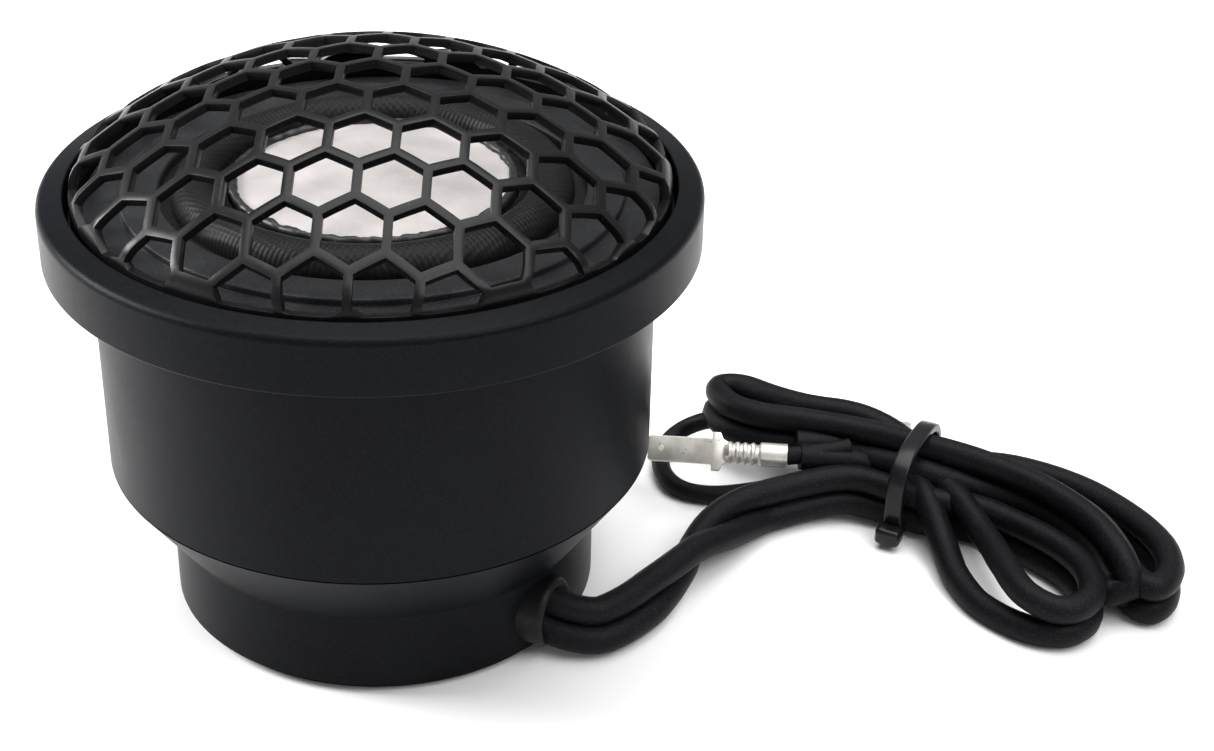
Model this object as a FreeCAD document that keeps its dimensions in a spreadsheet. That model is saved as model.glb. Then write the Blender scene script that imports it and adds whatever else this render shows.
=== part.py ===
import FreeCAD
import Part
import Sketcher
import math
import os

# Car tweeter: a round metal housing with a domed hexagonal grille, a moving dome inside,
# and a twin lead that is folded into a tied hank beside it.
# Millimetres. +Z up, the foot pad's underside at z = 0, the housing's axis on Z.

Vector = FreeCAD.Vector
Rotation = FreeCAD.Rotation
Placement = FreeCAD.Placement

doc = FreeCAD.newDocument("car_tweeter")
sheet = doc.addObject("Spreadsheet::Sheet", "Sizes")

# ---------------------------------------------------------------- driving dimensions
flange_height = 44.0        # top outer edge of the trim ring above the surface
gap_play = 0.4              # radial clearance each side of the voice coil

SIZES = {
    # outer shell
    "flange_radius": 31.0, "flange_bore": 28.45, "flange_top": flange_height,
    "flange_lip": flange_height + 0.6, "flange_under": flange_height - 5.4,
    "barrel_radius": 26.65, "barrel_bore": 24.95, "barrel_foot": 16.7,
    "barrel_shoulder": flange_height - 5.5, "barrel_top": flange_height - 5.2,
    "barrel_rebate": 26.0, "barrel_groove": 26.7,
    "can_radius": 21.1, "can_bore": 19.6, "can_foot": 1.0, "can_floor": 2.6,
    "cone_foot": 8.75, "cone_inner_foot": 9.6, "cone_inner_top": 15.6,
    "can_spigot": 24.85, "can_spigot_bore": 22.9, "can_spigot_top": 20.2,
    "seal_groove": 23.95, "seal_low": 17.7, "seal_high": 18.9,
    "pad_radius": 20.3,
    # ledge inside the trim ring, and its spigot in the barrel
    "ledge_top": flange_height - 4.4, "spigot_radius": 24.9, "spigot_bore": 21.9,
    "spigot_foot": flange_height - 9.4,
    # motor
    "plate_radius": 26.9, "plate_top": flange_height - 1.8, "plate_bore": 13.7,
    "magnet_radius": 21.4, "magnet_bore": 15.0, "magnet_foot": flange_height - 10.4,
    "yoke_radius": 21.0, "yoke_foot": flange_height - 13.6, "pole_radius": 11.8,
    "vent_radius": 4.5, "cap_radius": 12.1, "cap_foot": flange_height - 5.4,
    "felt_radius": 4.4, "felt_foot": flange_height - 8.0,
    # moving diaphragm
    "former_bore": 12.1 + gap_play, "former_radius": 12.75, "former_foot": flange_height - 5.5,
    "former_top": flange_height - 0.4, "coil_radius": 13.7 - gap_play,
    "coil_foot": flange_height - 4.7, "coil_top": flange_height - 1.9,
    "collar_radius": 13.35, "collar_foot": flange_height - 1.1, "collar_top": flange_height - 0.1,
    "dome_radius": 13.3, "dome_seat": 12.3, "dome_wall": 0.25, "dome_crown": 1.0,
    # surround, its frame and the face plate
    "lip_bore": 13.65, "lip_low": flange_height - 0.8, "roll_inner": 14.0,
    "roll_outer": 19.2, "roll_rise": 2.3, "cloth": 0.4,
    "surround_radius": 23.5, "clamp_low": flange_height - 1.3, "clamp_high": flange_height - 0.9,
    "frame_bore": 19.9, "face_bore": 19.9, "face_step": 23.6, "face_radius": 26.9,
    "face_outer_top": flange_height - 0.7,
    # grille
    "grille_sphere": 45.9, "grille_rise": 11.44, "grille_sheet": 0.9, "grille_radius": 27.95,
    "grille_shoulder": 2.6, "grille_foot": flange_height - 2.0,
    "mesh_pitch": 5.975, "mesh_web": 0.95, "gasket_bore": 27.0, "gasket_radius": 28.35,
    # fasteners
    "screw_circle": 23.4, "screw_radius": 1.0, "screw_head": 1.9, "screw_sink": 1.2,
    "screw_length": 6.2, "screw_hole": 1.15,
    # cable
    "cord_radius": 3.0, "core_radius": 1.0, "grommet_hole": 3.5, "grommet_flange": 3.5,
    "grommet_reach": 1.4, "cord_outlet": 4.6,
    "hank_high": 9.6, "hank_fan": 7.4,
    "tie_width": 2.4, "tie_wall": 1.0, "tie_span": 13.4, "tie_rise": 10.6,
    # blade terminals
    "blade_length": 6.9, "blade_width": 2.8, "blade_sheet": 0.5, "shoulder_width": 4.2,
    "crimp_radius": 1.2, "barrel_crimp": 1.3, "terminal_length": 15.0,
}

for row, (alias, value) in enumerate(SIZES.items(), start=1):
    sheet.set("A%d" % row, alias)
    sheet.set("B%d" % row, "%.4f" % value)
    sheet.setAlias("B%d" % row, alias)
doc.recompute()

# hand-chosen route of the lead from the outlet to the hank, and the arc rule along it
CORD_ROUTE = [
    (13.4, -14.1, 4.6),
    (18.6, -17.1, 3.1),
    (23.6, -14.4, 3.05),
    (28.8, -8.4, 3.05),
    (32.8, -2.2, 3.05),
    (37.4, 2.4, 3.05),
    (43.2, 4.9, 3.05),
    (49.4, 5.9, 3.6),
]
ARC_SHARE = 0.45            # part of the shorter run that an arc takes
HANK_CENTRE = (56.4, 5.2)   # where the tie holds the hank
HANK_TURN = -32.0           # direction of the hank's strands at the tie, degrees from +X
TURN = 360.0
FIT_PLAY = 0.2              # room on each side of a part that sits inside another
MESH_TURN = -6.1            # turn of the hexagon rows, degrees
MESH_SHIFT = (-3.34, -6.23)  # centre of one hexagon
SCREWS = 3

NODES = []


def size(alias):
    return SIZES[alias]


def keep(item, name):
    """Label a finished sub-part and list it for export."""
    item.Label = name
    NODES.append(item)
    return item


def bind(item, **properties):
    """Bind an object's properties to cells of the sheet."""
    for name, alias in properties.items():
        item.setExpression(name, "Sizes." + alias)


def origin_plane(body, role):
    return [plane for plane in body.Origin.OriginFeatures if plane.Role == role][0]


def new_sketch(body, role):
    sketch = body.newObject("Sketcher::SketchObject", body.Name + "_outline")
    sketch.AttachmentSupport = [(origin_plane(body, role), "")]
    sketch.MapMode = "FlatFace"
    return sketch


def closed_lines(sketch, corners):
    """Closed outline of straight lines through the corners."""
    count = len(corners)
    for here in range(count):
        start = Vector(*corners[here], 0)
        end = Vector(*corners[(here + 1) % count], 0)
        sketch.addGeometry(Part.LineSegment(start, end), False)
    for here in range(count):
        sketch.addConstraint(Sketcher.Constraint("Coincident", here, 2, (here + 1) % count, 1))


def turned(name, corners):
    """Turned piece: a closed half section of (radius, height) cells, spun about Z.
    A radius of None lies on the axis, a height of None on the ground."""
    body = doc.addObject("PartDesign::Body", name)
    sketch = new_sketch(body, "XZ_Plane")
    values = [(size(r) if r else 0.0, size(z) if z else 0.0) for r, z in corners]
    closed_lines(sketch, values)
    for here, (radius, height) in enumerate(corners):
        for kind, alias, axis in (("DistanceX", radius, -2), ("DistanceY", height, -1)):
            if alias is None:
                sketch.addConstraint(Sketcher.Constraint("PointOnObject", here, 1, axis))
                continue
            rule = Sketcher.Constraint(kind, -1, 1, here, 1, size(alias))
            number = sketch.addConstraint(rule)
            sketch.setExpression("Constraints[%d]" % number, "Sizes." + alias)
    spin = body.newObject("PartDesign::Revolution", name + "_spin")
    spin.Profile = sketch
    spin.ReferenceAxis = (sketch, ["V_Axis"])
    spin.Angle = TURN
    body.Tip = spin
    return body


def tube_ring(name, outer, bore, foot, top):
    """Plain ring between two radii and two heights."""
    return turned(name, [(bore, foot), (outer, foot), (outer, top), (bore, top)])


def disc(name, radius, foot, top):
    return turned(name, [(None, foot), (radius, foot), (radius, top), (None, top)])


def cylinder(name, radius, height, place, turn=None):
    item = doc.addObject("Part::Cylinder", name)
    bind(item, Radius=radius)
    item.Height = height
    item.Placement = Placement(Vector(*place), turn or Rotation())
    return item


def box(name, length, width, height, place):
    item = doc.addObject("Part::Box", name)
    item.Length = length
    item.Width = width
    item.Height = height
    item.Placement = Placement(Vector(*place), Rotation())
    return item


def cut(name, base, tool):
    item = doc.addObject("Part::Cut", name)
    item.Base = base
    item.Tool = tool
    return item


def joined(name, pieces):
    item = doc.addObject("Part::MultiFuse", name)
    item.Shapes = pieces
    return item


def group(name, pieces):
    item = doc.addObject("Part::Compound", name)
    item.Links = pieces
    return item


def round_edges(name, body, radius, test):
    """Fillet the body's circular edges that pass the test."""
    doc.recompute()
    edges = []
    for number, edge in enumerate(body.Shape.Edges, start=1):
        if isinstance(edge.Curve, Part.Circle) and test(edge.Curve):
            edges.append("Edge%d" % number)
    turned_tip = body.Tip
    fillet = body.newObject("PartDesign::Fillet", name)
    fillet.Base = (turned_tip, edges)
    fillet.Radius = radius
    body.Tip = fillet
    return fillet


# ---------------------------------------------------------------- housing shell
def make_foot_pad():
    keep(disc("foot_pad", "pad_radius", None, "can_foot"), "foot_pad")


def make_rear_can():
    shell = turned("rear_can_shell", [
        (None, "can_foot"), ("can_radius", "can_foot"), ("can_radius", "cone_foot"),
        ("barrel_radius", "barrel_foot"), ("can_spigot", "barrel_foot"),
        ("can_spigot", "seal_low"), ("seal_groove", "seal_low"),
        ("seal_groove", "seal_high"), ("can_spigot", "seal_high"),
        ("can_spigot", "can_spigot_top"), ("can_spigot_bore", "can_spigot_top"),
        ("can_spigot_bore", "cone_inner_top"), ("can_bore", "cone_inner_foot"),
        ("can_bore", "can_floor"), (None, "can_floor")])
    hole = cylinder("outlet_hole", "grommet_hole", OUTLET_DEPTH * 2, outlet_point(-OUTLET_DEPTH),
                    outlet_turn())
    keep(cut("rear_can", shell, hole), "rear_can")


OUTLET_DEPTH = 6.0          # how far the outlet hole reaches each side of the can's wall
OUTLET_HEADING = -30.0      # heading of the lead as it leaves, degrees from +X
OUTLET_WALL = (14.9, -14.95)  # where the lead's line crosses the can's wall


def outlet_turn():
    heading = math.radians(OUTLET_HEADING)
    return Rotation(Vector(0, 0, 1), Vector(math.cos(heading), math.sin(heading), 0))


def outlet_point(along):
    heading = math.radians(OUTLET_HEADING)
    return (OUTLET_WALL[0] + along * math.cos(heading),
            OUTLET_WALL[1] + along * math.sin(heading), size("cord_outlet"))


def make_chamber_seal():
    keep(tube_ring("chamber_seal", "can_spigot", "seal_groove", "seal_low", "seal_high"),
         "chamber_seal")


def make_housing_barrel():
    keep(turned("housing_barrel", [
        ("barrel_bore", "barrel_foot"), ("barrel_radius", "barrel_foot"),
        ("barrel_radius", "barrel_shoulder"), ("barrel_rebate", "barrel_shoulder"),
        ("barrel_rebate", "barrel_top"), ("barrel_bore", "barrel_top")]), "housing_barrel")


RIM_ROUND = 0.6             # rounding of the flange's outer top edge


def make_trim_ring(holes):
    ring = turned("trim_ring_body", [
        ("spigot_bore", "spigot_foot"), ("spigot_radius", "spigot_foot"),
        ("spigot_radius", "barrel_top"), ("barrel_groove", "barrel_top"),
        ("barrel_groove", "flange_under"), ("flange_radius", "flange_under"),
        ("flange_radius", "flange_top"), ("flange_bore", "flange_lip"),
        ("flange_bore", "ledge_top"), ("spigot_bore", "ledge_top")])

    def outer_top(circle):
        return (abs(circle.Radius - size("flange_radius")) < 1e-3
                and abs(circle.Center.z - size("flange_top")) < 1e-3)

    round_edges("rim_round", ring, RIM_ROUND, outer_top)
    keep(cut("trim_ring", ring, holes), "trim_ring")


# ---------------------------------------------------------------- motor
FIRST_SCREW = 30.0          # degrees from +X
SCREW_END_ROOM = 0.3        # of the hole past the screw's end
SCREW_HEAD_ROOM = 0.15      # of the countersink round the screw's head


def screw_places():
    places = []
    for number in range(SCREWS):
        angle = math.radians(TURN / SCREWS * number + FIRST_SCREW)
        places.append((size("screw_circle") * math.cos(angle),
                       size("screw_circle") * math.sin(angle)))
    return places


def make_motor_screws():
    """Countersunk screws that hold the motor's top plate on the trim ring's ledge."""
    screws = []
    for number, (x, y) in enumerate(screw_places(), start=1):
        foot = size("plate_top") - size("screw_length")
        shank = cylinder("screw_shank_%d" % number, "screw_radius",
                         size("screw_length"), (x, y, foot))
        head = doc.addObject("Part::Cone", "screw_head_%d" % number)
        bind(head, Radius1="screw_radius", Radius2="screw_head", Height="screw_sink")
        head.Placement.Base = Vector(x, y, size("plate_top") - size("screw_sink"))
        screws.append(joined("screw_%d" % number, [shank, head]))
    keep(group("motor_screws", screws), "motor_screws")


def screw_holes(name, countersunk):
    """Holes for the screws, with room for their heads where countersunk."""
    holes = []
    for number, (x, y) in enumerate(screw_places(), start=1):
        foot = size("plate_top") - size("screw_length") - SCREW_END_ROOM
        hole = cylinder("%s_%d" % (name, number), "screw_hole",
                        size("screw_length") + 1.0, (x, y, foot))
        holes.append(hole)
        if countersunk:
            sink = doc.addObject("Part::Cone", "%s_sink_%d" % (name, number))
            bind(sink, Radius1="screw_hole", Height="screw_sink")
            sink.Radius2 = size("screw_head") + SCREW_HEAD_ROOM
            sink.Placement.Base = Vector(x, y, size("plate_top") - size("screw_sink"))
            holes.append(sink)
    return joined(name, holes)


def make_top_plate():
    plate = tube_ring("top_plate_body", "plate_radius", "plate_bore", "ledge_top", "plate_top")
    keep(cut("top_plate", plate, screw_holes("plate_holes", True)), "top_plate")


def make_magnet():
    keep(tube_ring("magnet", "magnet_radius", "magnet_bore", "magnet_foot", "ledge_top"),
         "magnet")


def make_yoke():
    keep(turned("yoke", [
        ("vent_radius", "yoke_foot"), ("yoke_radius", "yoke_foot"),
        ("yoke_radius", "magnet_foot"), ("pole_radius", "magnet_foot"),
        ("pole_radius", "plate_top"), ("vent_radius", "plate_top")]), "yoke")


def make_copper_cap():
    keep(tube_ring("copper_cap", "cap_radius", "pole_radius", "cap_foot", "plate_top"),
         "copper_cap")


def make_pole_felt():
    keep(disc("pole_felt", "felt_radius", "felt_foot", "plate_top"), "pole_felt")


# ---------------------------------------------------------------- moving diaphragm
def make_coil_former():
    keep(tube_ring("coil_former", "former_radius", "former_bore", "former_foot", "former_top"),
         "coil_former")


def make_voice_coil():
    keep(tube_ring("voice_coil", "coil_radius", "former_radius", "coil_foot", "coil_top"),
         "voice_coil")


def make_dome_collar():
    keep(tube_ring("dome_collar", "collar_radius", "former_radius", "collar_foot",
                   "collar_top"), "dome_collar")


def revolved(name, edges):
    """Solid spun about Z from a closed half section of edges."""
    item = doc.addObject("Part::Feature", name)
    face = Part.Face(Part.Wire(Part.__sortEdges__(edges)))
    item.Shape = face.revolve(Vector(0, 0, 0), Vector(0, 0, 1), TURN)
    item.Placement = Placement()
    return item


def line(a, b):
    return Part.LineSegment(Vector(a[0], 0, a[1]), Vector(b[0], 0, b[1])).toShape()


def arc(a, middle, b):
    points = [Vector(point[0], 0, point[1]) for point in (a, middle, b)]
    return Part.Arc(*points).toShape()


DOME_FLAT = 0.8             # radius of the small flat at the dome's top


def make_dome():
    """Shallow dome with a flat seat that is glued on the collar."""
    seat = size("dome_seat")
    edge = size("dome_radius")
    low = size("collar_top")
    wall = size("dome_wall")
    crown = size("dome_crown")
    flat = DOME_FLAT
    half = seat / 2.0
    drop = crown * 0.25
    keep(revolved("dome", [
        line((0, low + crown), (0, low + crown + wall)),
        line((0, low + crown + wall), (flat, low + crown + wall)),
        arc((flat, low + crown + wall), (half, low + crown + wall - drop), (seat, low + wall)),
        line((seat, low + wall), (edge, low + wall)),
        line((edge, low + wall), (edge, low)),
        line((edge, low), (seat, low)),
        arc((seat, low), (half, low + crown - drop), (flat, low + crown)),
        line((flat, low + crown), (0, low + crown))]), "dome")


def make_surround():
    """Half roll of coated cloth between the collar and the clamped outer flange."""
    cloth = size("cloth")
    lip = size("lip_low")
    inner = size("roll_inner")
    outer = size("roll_outer")
    clamp = size("clamp_low")
    peak = lip + size("roll_rise")
    middle = (inner + outer) / 2.0
    keep(revolved("surround", [
        line((size("lip_bore"), lip), (size("lip_bore"), lip + cloth)),
        line((size("lip_bore"), lip + cloth), (inner + cloth, lip + cloth)),
        arc((inner + cloth, lip + cloth), (middle, peak), (outer - cloth, clamp + cloth)),
        line((outer - cloth, clamp + cloth), (size("surround_radius"), clamp + cloth)),
        line((size("surround_radius"), clamp + cloth), (size("surround_radius"), clamp)),
        line((size("surround_radius"), clamp), (outer - 2 * cloth, clamp)),
        arc((outer - 2 * cloth, clamp), (middle, peak - cloth), (inner + 2 * cloth, lip)),
        line((inner + 2 * cloth, lip), (size("lip_bore"), lip))]), "surround")


def make_surround_frame():
    keep(tube_ring("surround_frame", "surround_radius", "frame_bore", "plate_top", "clamp_low"),
         "surround_frame")


def make_face_plate():
    plate = turned("face_plate", [
        ("face_bore", "clamp_high"), ("face_step", "clamp_high"), ("face_step", "plate_top"),
        ("face_radius", "plate_top"), ("face_radius", "face_outer_top"),
        ("face_step", "face_outer_top"), ("face_step", "flange_top"),
        ("face_bore", "flange_top")])
    keep(plate, "face_plate")


# ---------------------------------------------------------------- grille
def grille_section(offset):
    """Outer curve of the grille moved inwards by the offset: cap, shoulder, rim wall."""
    centre = size("flange_top") + size("grille_rise") - size("grille_sphere")
    cap = size("grille_sphere") - offset
    wall = size("grille_radius") - offset
    bend = size("grille_shoulder") - offset
    bend_r = wall - bend
    bend_z = centre + math.sqrt((cap - bend) ** 2 - bend_r ** 2)
    slope = math.atan2(bend_z - centre, bend_r)
    tangent = (bend_r + bend * math.cos(slope), bend_z + bend * math.sin(slope))
    half = slope / 2.0
    shoulder = (bend_r + bend * math.cos(half), bend_z + bend * math.sin(half))
    mid_angle = (math.pi / 2.0 + slope) / 2.0
    mid_cap = (cap * math.cos(mid_angle), centre + cap * math.sin(mid_angle))
    return {"top": (0, centre + cap), "cap": mid_cap, "tangent": tangent,
            "shoulder": shoulder, "wall": (wall, bend_z), "foot": (wall, size("grille_foot"))}


def mesh_centres(limit):
    """Centres of the hexagons in rows across the grille, out to a limit radius."""
    pitch = size("mesh_pitch")
    turn = math.radians(MESH_TURN)
    centres = []
    for row in range(-8, 9):
        for column in range(-8, 9):
            x = (column + 0.5 * (row % 2)) * pitch
            y = row * pitch * math.sqrt(3.0) / 2.0
            place = (x * math.cos(turn) - y * math.sin(turn) + MESH_SHIFT[0],
                     x * math.sin(turn) + y * math.cos(turn) + MESH_SHIFT[1])
            if math.hypot(*place) < limit:
                centres.append(place)
    return centres


def hexagon_prism(centre, across, foot, height):
    """Upright prism with a point towards +Y, turned with the mesh."""
    radius = across / math.sqrt(3.0)
    corners = []
    for step in range(7):
        angle = math.radians(60.0 * step + 30.0 + MESH_TURN)
        corners.append(Vector(centre[0] + radius * math.cos(angle),
                              centre[1] + radius * math.sin(angle), foot))
    return Part.Face(Part.makePolygon(corners)).extrude(Vector(0, 0, height))


MESH_EDGE = 1.6             # the last holes' centres stay this far inside the rim


def make_hex_grille():
    outer = grille_section(0.0)
    inner = grille_section(size("grille_sheet"))
    shell = revolved("grille_blank", [
        line(inner["top"], outer["top"]),
        arc(outer["top"], outer["cap"], outer["tangent"]),
        arc(outer["tangent"], outer["shoulder"], outer["wall"]),
        line(outer["wall"], outer["foot"]),
        line(outer["foot"], inner["foot"]),
        line(inner["foot"], inner["wall"]),
        arc(inner["wall"], inner["shoulder"], inner["tangent"]),
        arc(inner["tangent"], inner["cap"], inner["top"])])
    across = size("mesh_pitch") - size("mesh_web")
    foot = size("flange_lip")
    holes = doc.addObject("Part::Feature", "grille_holes")
    limit = size("grille_radius") - MESH_EDGE
    prisms = [hexagon_prism(place, across, foot, size("grille_rise") + size("grille_sheet"))
              for place in mesh_centres(limit)]
    holes.Shape = Part.makeCompound(prisms)
    holes.Placement = Placement()
    keep(cut("hex_grille", shell, holes), "hex_grille")


def make_grille_gasket():
    keep(tube_ring("grille_gasket", "gasket_radius", "gasket_bore", "ledge_top", "grille_foot"),
         "grille_gasket")


# ---------------------------------------------------------------- inside the rear chamber
BOARD_TOP = 30.4            # the terminal board hangs under the yoke
BOARD_SHEET = 1.5
TAG_SPACING = 3.6
TAG_PLACE = (10.0, -9.0)
BOARD_SIDES = (12.0, 6.0)
TAG_SIDES = (1.6, 0.5, 3.4)


def make_terminal_board():
    long, deep = BOARD_SIDES
    board = box("terminal_board", long, deep, BOARD_SHEET,
                (TAG_PLACE[0] - long / 2.0, TAG_PLACE[1] - deep / 2.0, BOARD_TOP - BOARD_SHEET))
    keep(board, "terminal_board")


def make_solder_tags():
    tags = []
    for number, side in enumerate((-1, 1), start=1):
        wide, sheet_metal, tall = TAG_SIDES
        tags.append(box("solder_tag_%d" % number, wide, sheet_metal, tall,
                        (TAG_PLACE[0] - wide / 2.0 + side * TAG_SPACING,
                         TAG_PLACE[1] - sheet_metal / 2.0, BOARD_TOP - BOARD_SHEET - tall)))
    keep(group("solder_tags", tags), "solder_tags")


WADDING_RADIUS = 14.0
WADDING_HEIGHT = 15.0
WADDING_FOOT = (-5.0, 4.0, 11.0)


def make_chamber_wadding():
    keep(cylinder_piece("chamber_wadding", WADDING_RADIUS, WADDING_HEIGHT, WADDING_FOOT),
         "chamber_wadding")


def cylinder_piece(name, radius, height, place):
    item = doc.addObject("Part::Cylinder", name)
    item.Radius = radius
    item.Height = height
    item.Placement.Base = Vector(*place)
    return item


def smooth_path(points):
    """Straight runs joined by tangent arcs, each as large as its two runs allow."""
    places = [Vector(*point) for point in points]
    edges = []
    radii = []
    start = places[0]
    for before, corner, after in zip(places, places[1:], places[2:]):
        way_in = (corner - before).normalize()
        way_out = (after - corner).normalize()
        half = way_in.getAngle(way_out) / 2.0
        reach = ARC_SHARE * min((corner - before).Length, (after - corner).Length)
        radius = reach / math.tan(half)
        radii.append(radius)
        first = corner - way_in * reach
        last = corner + way_out * reach
        inward = (way_out - way_in).normalize()
        centre = corner + inward * (radius / math.cos(half))
        middle = centre - inward * radius
        edges.append(Part.LineSegment(start, first).toShape())
        edges.append(Part.Arc(first, middle, last).toShape())
        start = last
    edges.append(Part.LineSegment(start, places[-1]).toShape())
    return Part.Wire(edges), radii


def tube(name, points, radius):
    path, radii = smooth_path(points)
    heading = Vector(*points[1]) - Vector(*points[0])
    ring = Part.Wire(Part.makeCircle(radius, Vector(*points[0]), heading))
    item = doc.addObject("Part::Feature", name)
    item.Shape = path.makePipeShell([ring], True, False)
    item.Placement = Placement()
    expected = math.pi * radius ** 2 * path.Length
    print("%s: length %.1f mm, volume %.1f of %.1f, arc radii %s"
          % (name, path.Length, item.Shape.Volume, expected,
             " ".join("%.1f" % value for value in radii)))
    return item


WIRE_RADIUS = 1.2
WIRE_SETBACK = 5.0          # the wires start this far inside the can's wall
WIRE_BEND_HEIGHT = 14.0


def make_lead_wires():
    """The two cores inside the can, from the grommet up to the solder tags."""
    wires = []
    inside = outlet_point(-WIRE_SETBACK)
    for number, side in enumerate((-1, 1), start=1):
        foot = (inside[0], inside[1], inside[2] + side * WIRE_RADIUS)
        rise = (inside[0] - 2.6 + side * 1.6, inside[1] + 1.4 + side * WIRE_RADIUS,
                inside[2] + 4.2)
        climb = (TAG_PLACE[0] + side * TAG_SPACING * 0.8, TAG_PLACE[1] + side,
                 WIRE_BEND_HEIGHT)
        top = (TAG_PLACE[0] + side * TAG_SPACING, TAG_PLACE[1] + 1.8,
               BOARD_TOP - BOARD_SHEET - 1.0)
        wires.append(tube("lead_wire_%d" % number, [foot, rise, climb, top], WIRE_RADIUS))
    keep(group("lead_wires", wires), "lead_wires")


# ---------------------------------------------------------------- cable
NOSE_LIP = 0.3              # rubber left round the lead at the nose's end


def make_cable_grommet():
    """Rubber bush in the outlet hole, with a tapered nose outside."""
    turn = outlet_turn()
    start = outlet_point(-WIRE_SETBACK)
    neck = cylinder("grommet_neck", "grommet_hole", WIRE_SETBACK, start, turn)
    nose = doc.addObject("Part::Cone", "grommet_nose")
    bind(nose, Radius1="grommet_flange", Height="grommet_reach")
    nose.Radius2 = size("cord_radius") + NOSE_LIP
    nose.Placement = Placement(Vector(*outlet_point(0.0)), turn)
    keep(joined("cable_grommet", [neck, nose]), "cable_grommet")


def make_cord_run():
    keep(tube("cord_run", CORD_ROUTE, size("cord_radius")), "cord_run")


def slab(name, outline, foot, top):
    """Flat slab with an outline of straight lines."""
    body = doc.addObject("PartDesign::Body", name)
    sketch = new_sketch(body, "XY_Plane")
    closed_lines(sketch, outline)
    pad = body.newObject("PartDesign::Pad", name + "_pad")
    pad.Profile = sketch
    pad.setExpression("Length", "Sizes.%s - %.3f" % (top, foot))
    body.Tip = pad
    body.Placement.Base = Vector(0, 0, foot)
    return body


BACK_LOOPS = [(36.6, 18.2), (37.4, 22.4), (41.0, 22.8), (48.0, 17.4), (56.0, 15.4),
              (60.5, 9.6), (54.0, 4.6), (49.0, 9.6), (42.0, 12.2)]
BACK_FOOT = 2.6             # the back loops lie on the tail of one core
FAN_LOOPS = [(58.0, 10.5), (66.0, 8.6), (73.0, 5.4), (79.0, -0.6), (82.0, -7.0),
             (81.5, -14.0), (77.6, -18.4), (71.5, -19.6), (67.4, -21.4), (61.5, -18.0),
             (57.0, -11.0), (56.0, -3.0)]


def hank_place(u, w, z):
    """Point in the hank's own directions: u along the strands, w across them."""
    turn = math.radians(HANK_TURN)
    return Vector(HANK_CENTRE[0] + u * math.cos(turn) - w * math.sin(turn),
                  HANK_CENTRE[1] + u * math.sin(turn) + w * math.cos(turn), z)


def hank_turn():
    return Rotation(Vector(0, 0, 1), HANK_TURN)


HANK_WAIST = 16.0           # length of the straight stretch through the tie
TIE_ROOM = 0.3              # gap each side of the tie, where the hank's loops stop
CLEAR_OF_HANK = 40.0        # a cutter this size reaches past the whole hank


def waist_block(name, length):
    """Straight block of the hank's strands, with play inside the tie."""
    across = size("tie_span") - 2.0 * size("tie_wall") - 2.0 * FIT_PLAY
    tall = size("tie_rise") - 2.0 * size("tie_wall") - 2.0 * FIT_PLAY
    block = box(name, length, across, tall, (0, 0, 0))
    block.Placement = Placement(
        hank_place(-length / 2.0, -across / 2.0, size("tie_wall") + FIT_PLAY), hank_turn())
    return block


def make_cord_hank():
    """One closed solid of the folded lead's outer shape."""
    back = slab("hank_back_loops", BACK_LOOPS, BACK_FOOT, "hank_high")
    fan = slab("hank_fan_loops", FAN_LOOPS, 0.0, "hank_fan")
    hank = joined("hank_loops", [back, fan, waist_block("hank_waist", HANK_WAIST)])
    gap = size("tie_width") + 2.0 * TIE_ROOM
    room = box("tie_room", gap, CLEAR_OF_HANK, CLEAR_OF_HANK, (0, 0, 0))
    room.Placement = Placement(
        hank_place(-gap / 2.0, -CLEAR_OF_HANK / 2.0, -CLEAR_OF_HANK / 2.0), hank_turn())
    core = waist_block("tie_core", gap)
    keep(joined("cord_hank", [cut("hank_split", hank, room), core]), "cord_hank")


TIE_ROUND = 3.4             # rounding of the band's outer corners
TIE_HEAD = (3.2, 2.2, 2.6)  # the lock's length along the strands, its depth and height
TIE_HEAD_OUT = 1.8          # how far the lock stands out of the band
TIE_HEAD_FOOT = 0.8


def make_cable_tie():
    """Flat band round the waist of the hank, with its locking head in front."""
    wall = size("tie_wall")
    width = size("tie_width")
    span = size("tie_span")
    rise = size("tie_rise")
    outer = box("tie_outer", width, span, rise, (0, 0, 0))
    inner = box("tie_inner", 2.0 * width, span - 2.0 * wall, rise - 2.0 * wall,
                (-width / 2.0, wall, wall))
    band = cut("tie_band", rounded_band(outer, TIE_ROUND), rounded_band(inner, TIE_ROUND - wall))
    long, deep, tall = TIE_HEAD
    head = box("tie_head", long, deep, tall,
               ((width - long) / 2.0, -TIE_HEAD_OUT, TIE_HEAD_FOOT))
    tie = joined("cable_tie", [band, head])
    tie.Placement = Placement(hank_place(-width / 2.0, -span / 2.0, 0.0), hank_turn())
    keep(tie, "cable_tie")


def rounded_band(piece, radius):
    """Round a box's four edges that run along X."""
    doc.recompute()
    edges = []
    for number, edge in enumerate(piece.Shape.Edges, start=1):
        ends = edge.Vertexes[1].Point - edge.Vertexes[0].Point
        if abs(ends.x) > 0.5 * edge.Length:
            edges.append((number, radius, radius))
    fillet = doc.addObject("Part::Fillet", piece.Name + "_round")
    fillet.Base = piece
    fillet.Edges = edges
    return fillet


TERMINALS = {
    "a": {"tip": (28.4, 11.0, 6.3), "heading": -10.5, "roll": 50.0},
    "b": {"tip": (57.6, 12.0, 6.6), "heading": 165.0, "roll": 0.0},
}
TAILS = {
    "a": [(46.4, 8.1, 6.6), (50.0, 8.4, 7.0)],
    "b": [(37.4, 19.4, 4.8), (33.4, 21.2, 2.2), (30.9, 18.4, 1.2), (30.4, 14.4, 1.1),
          (31.5, 10.8, 1.1), (34.6, 9.0, 1.1), (39.4, 9.2, 1.2), (44.6, 10.2, 1.6),
          (50.0, 9.6, 2.8)],
}


def terminal_turn(facts):
    return (Rotation(Vector(0, 0, 1), facts["heading"])
            * Rotation(Vector(1, 0, 0), facts["roll"]))


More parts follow.
